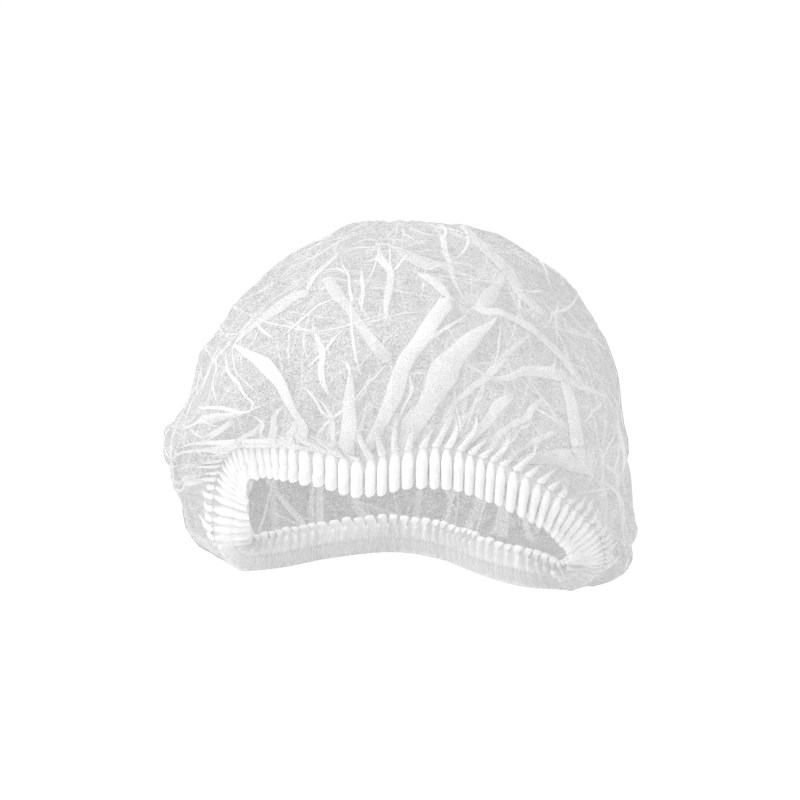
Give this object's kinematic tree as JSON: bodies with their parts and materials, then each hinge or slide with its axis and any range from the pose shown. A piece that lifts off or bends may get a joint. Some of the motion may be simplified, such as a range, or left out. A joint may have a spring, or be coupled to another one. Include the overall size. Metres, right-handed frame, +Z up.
{
  "type": "disposable hair cover cap",
  "caption": "Puffed thin fabric hair cover with a narrow gathered elastic hem, lying with its mouth open to the front.",
  "frame": {"origin": "middle of the footprint, on the surface that the cap lies on", "axes": "+Z up, -Y towards the lifted front of the mouth, +X to the right seen from there"},
  "size_m": [0.2788, 0.2588, 0.221],
  "materials": {
    "crown_fabric": "thin spunbond, matt and see-through",
    "hem_fabric": "spunbond in tight gathers, matt",
    "elastic_rubber": "matt white strip"
  },
  "bodies": {
    "root": {"crown": "crown_fabric", "gathered_hem": "hem_fabric", "elastic": "elastic_rubber"}
  },
  "joints": []
}
